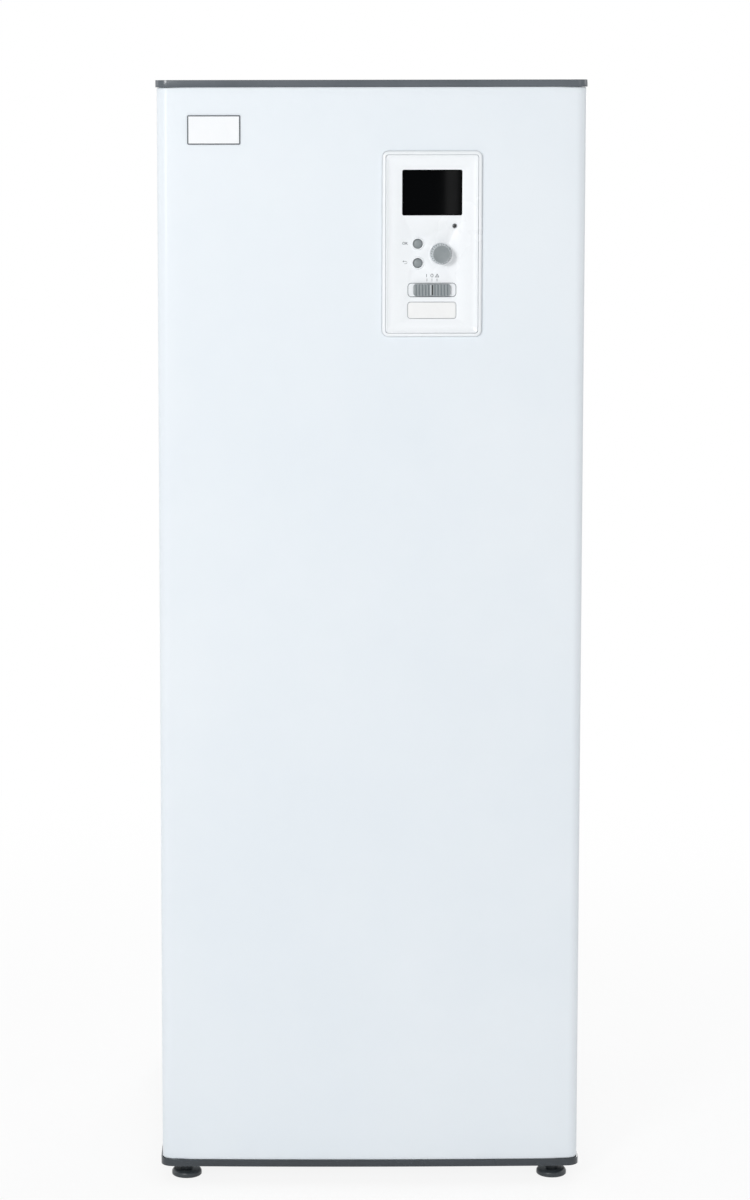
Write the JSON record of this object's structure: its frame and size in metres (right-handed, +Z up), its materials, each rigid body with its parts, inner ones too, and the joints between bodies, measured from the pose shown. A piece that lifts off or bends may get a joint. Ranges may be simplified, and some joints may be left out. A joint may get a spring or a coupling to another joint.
{
  "type": "split heat pump indoor unit",
  "caption": "Tall floor-standing indoor unit of a split heat pump, with a hot water tank and hydraulics behind a crowned front panel with an offset display.",
  "frame": {"origin": "on the floor, under the middle of the unit's bounding box", "axes": "+Z up, the front with the display faces -Y, +X to the viewer's right"},
  "size_m": [0.6, 0.639, 1.575],
  "materials": {
    "painted_sheet": "satin",
    "slate_trim": "satin",
    "zinc_sheet": "satin",
    "foot_rubber": "matte",
    "badge_white": "satin",
    "display_white": "gloss",
    "housing_grey": "matte",
    "control_grey": "satin",
    "black_plastic": "matte",
    "display_glass": "gloss",
    "display_module": "satin",
    "circuit_board": "satin",
    "stainless_steel": "satin",
    "jacket_foam": "matte",
    "pump_iron": "satin",
    "brass_fitting": "satin",
    "red_enamel": "gloss",
    "copper_pipe": "satin"
  },
  "bodies": {
    "cabinet": {"base_frame": "zinc_sheet", "base_trim": "slate_trim", "side_panel_left": "painted_sheet", "side_panel_right": "painted_sheet", "back_panel": "painted_sheet", "top_panel": "painted_sheet", "top_trim": "slate_trim", "tank_stand": "zinc_sheet", "outlet_tray": "zinc_sheet", "gland_plate": "black_plastic", "display_housing": "housing_grey", "display_fascia": "display_white", "display_glass": "display_glass", "lcd_module": "display_module", "control_board": "circuit_board", "status_light": "black_plastic", "electrical_box": "zinc_sheet", "main_board": "circuit_board", "terminal_block": "housing_grey", "circuit_breaker": "housing_grey", "tank_vessel": "stainless_steel", "charging_coil": "stainless_steel", "tank_insulation": "jacket_foam", "heat_exchanger": "stainless_steel", "pump_housing": "pump_iron", "pump_motor": "pump_iron", "diverter_body": "brass_fitting", "diverter_actuator": "black_plastic", "heater_vessel": "stainless_steel", "immersion_heater": "stainless_steel", "expansion_vessel": "red_enamel", "safety_valve": "brass_fitting", "pressure_gauge": "brass_fitting", "return_pipe": "copper_pipe", "exchanger_feed_pipe": "copper_pipe", "heater_feed_pipe": "copper_pipe", "supply_pipe": "copper_pipe", "cold_water_pipe": "copper_pipe", "hot_water_pipe": "copper_pipe", "gas_line": "copper_pipe", "liquid_line": "copper_pipe", "expansion_pipe": "copper_pipe"},
    "front_cover": {"front_panel": "painted_sheet", "display_collar": "display_white", "badge_plate": "badge_white"},
    "foot_front_left": {"foot_front_left": "foot_rubber"},
    "foot_front_right": {"foot_front_right": "foot_rubber"},
    "foot_rear_left": {"foot_rear_left": "foot_rubber"},
    "foot_rear_right": {"foot_rear_right": "foot_rubber"},
    "ok_button": {"ok_button": "control_grey"},
    "back_button": {"back_button": "control_grey"},
    "control_knob": {"control_knob": "control_grey"},
    "mode_slider": {"mode_slider": "control_grey"},
    "usb_cover": {"usb_cover": "control_grey"},
    "breaker_lever": {"breaker_lever": "black_plastic"},
    "pump_rotor": {"pump_rotor": "stainless_steel"},
    "diverter_plug": {"diverter_plug": "brass_fitting"},
    "safety_valve_knob": {"safety_valve_knob": "red_enamel"},
    "gauge_needle": {"gauge_needle": "red_enamel"}
  },
  "joints": [
    {"name": "front_cover_pull", "type": "slide", "parent": "cabinet", "child": "front_cover", "axis": [0, -1, 0], "range_m": [0, 0.4]},
    {"name": "foot_front_left_screw", "type": "slide", "parent": "cabinet", "child": "foot_front_left", "axis": [0, 0, -1], "range_m": [0, 0.02]},
    {"name": "foot_front_right_screw", "type": "slide", "parent": "cabinet", "child": "foot_front_right", "axis": [0, 0, -1], "range_m": [0, 0.02]},
    {"name": "foot_rear_left_screw", "type": "slide", "parent": "cabinet", "child": "foot_rear_left", "axis": [0, 0, -1], "range_m": [0, 0.02]},
    {"name": "foot_rear_right_screw", "type": "slide", "parent": "cabinet", "child": "foot_rear_right", "axis": [0, 0, -1], "range_m": [0, 0.02]},
    {"name": "ok_button_press", "type": "slide", "parent": "cabinet", "child": "ok_button", "axis": [0, 1, 0], "range_m": [0, 0.0012], "stiffness_N_per_m": 400},
    {"name": "back_button_press", "type": "slide", "parent": "cabinet", "child": "back_button", "axis": [0, 1, 0], "range_m": [0, 0.0012], "stiffness_N_per_m": 400},
    {"name": "knob_turn", "type": "hinge", "parent": "cabinet", "child": "control_knob", "pos_m": [0.0963, -0.2955, 1.3349], "axis": [0, 1, 0], "continuous": true},
    {"name": "mode_slide", "type": "slide", "parent": "cabinet", "child": "mode_slider", "axis": [1, 0, 0], "range_m": [-0.007, 0.007]},
    {"name": "usb_cover_pull", "type": "slide", "parent": "cabinet", "child": "usb_cover", "axis": [0, -1, 0], "range_m": [0, 0.015]},
    {"name": "breaker_switch", "type": "hinge", "parent": "cabinet", "child": "breaker_lever", "pos_m": [-0.203, -0.2645, 1.4625], "axis": [1, 0, 0], "range_deg": [0, 70]},
    {"name": "pump_spin", "type": "hinge", "parent": "cabinet", "child": "pump_rotor", "pos_m": [-0.115, -0.12, 0.23], "axis": [0, 1, 0], "continuous": true},
    {"name": "diverter_turn", "type": "hinge", "parent": "cabinet", "child": "diverter_plug", "pos_m": [0, -0.1317, 0.29], "axis": [0, 1, 0], "range_deg": [-90, 0]},
    {"name": "safety_knob_turn", "type": "hinge", "parent": "cabinet", "child": "safety_valve_knob", "pos_m": [-0.225, -0.1756, 0.15], "axis": [0, 1, 0], "range_deg": [0, 90]},
    {"name": "gauge_turn", "type": "hinge", "parent": "cabinet", "child": "gauge_needle", "pos_m": [-0.225, -0.1686, 0.25], "axis": [0, 1, 0], "range_deg": [-60, 180]}
  ]
}
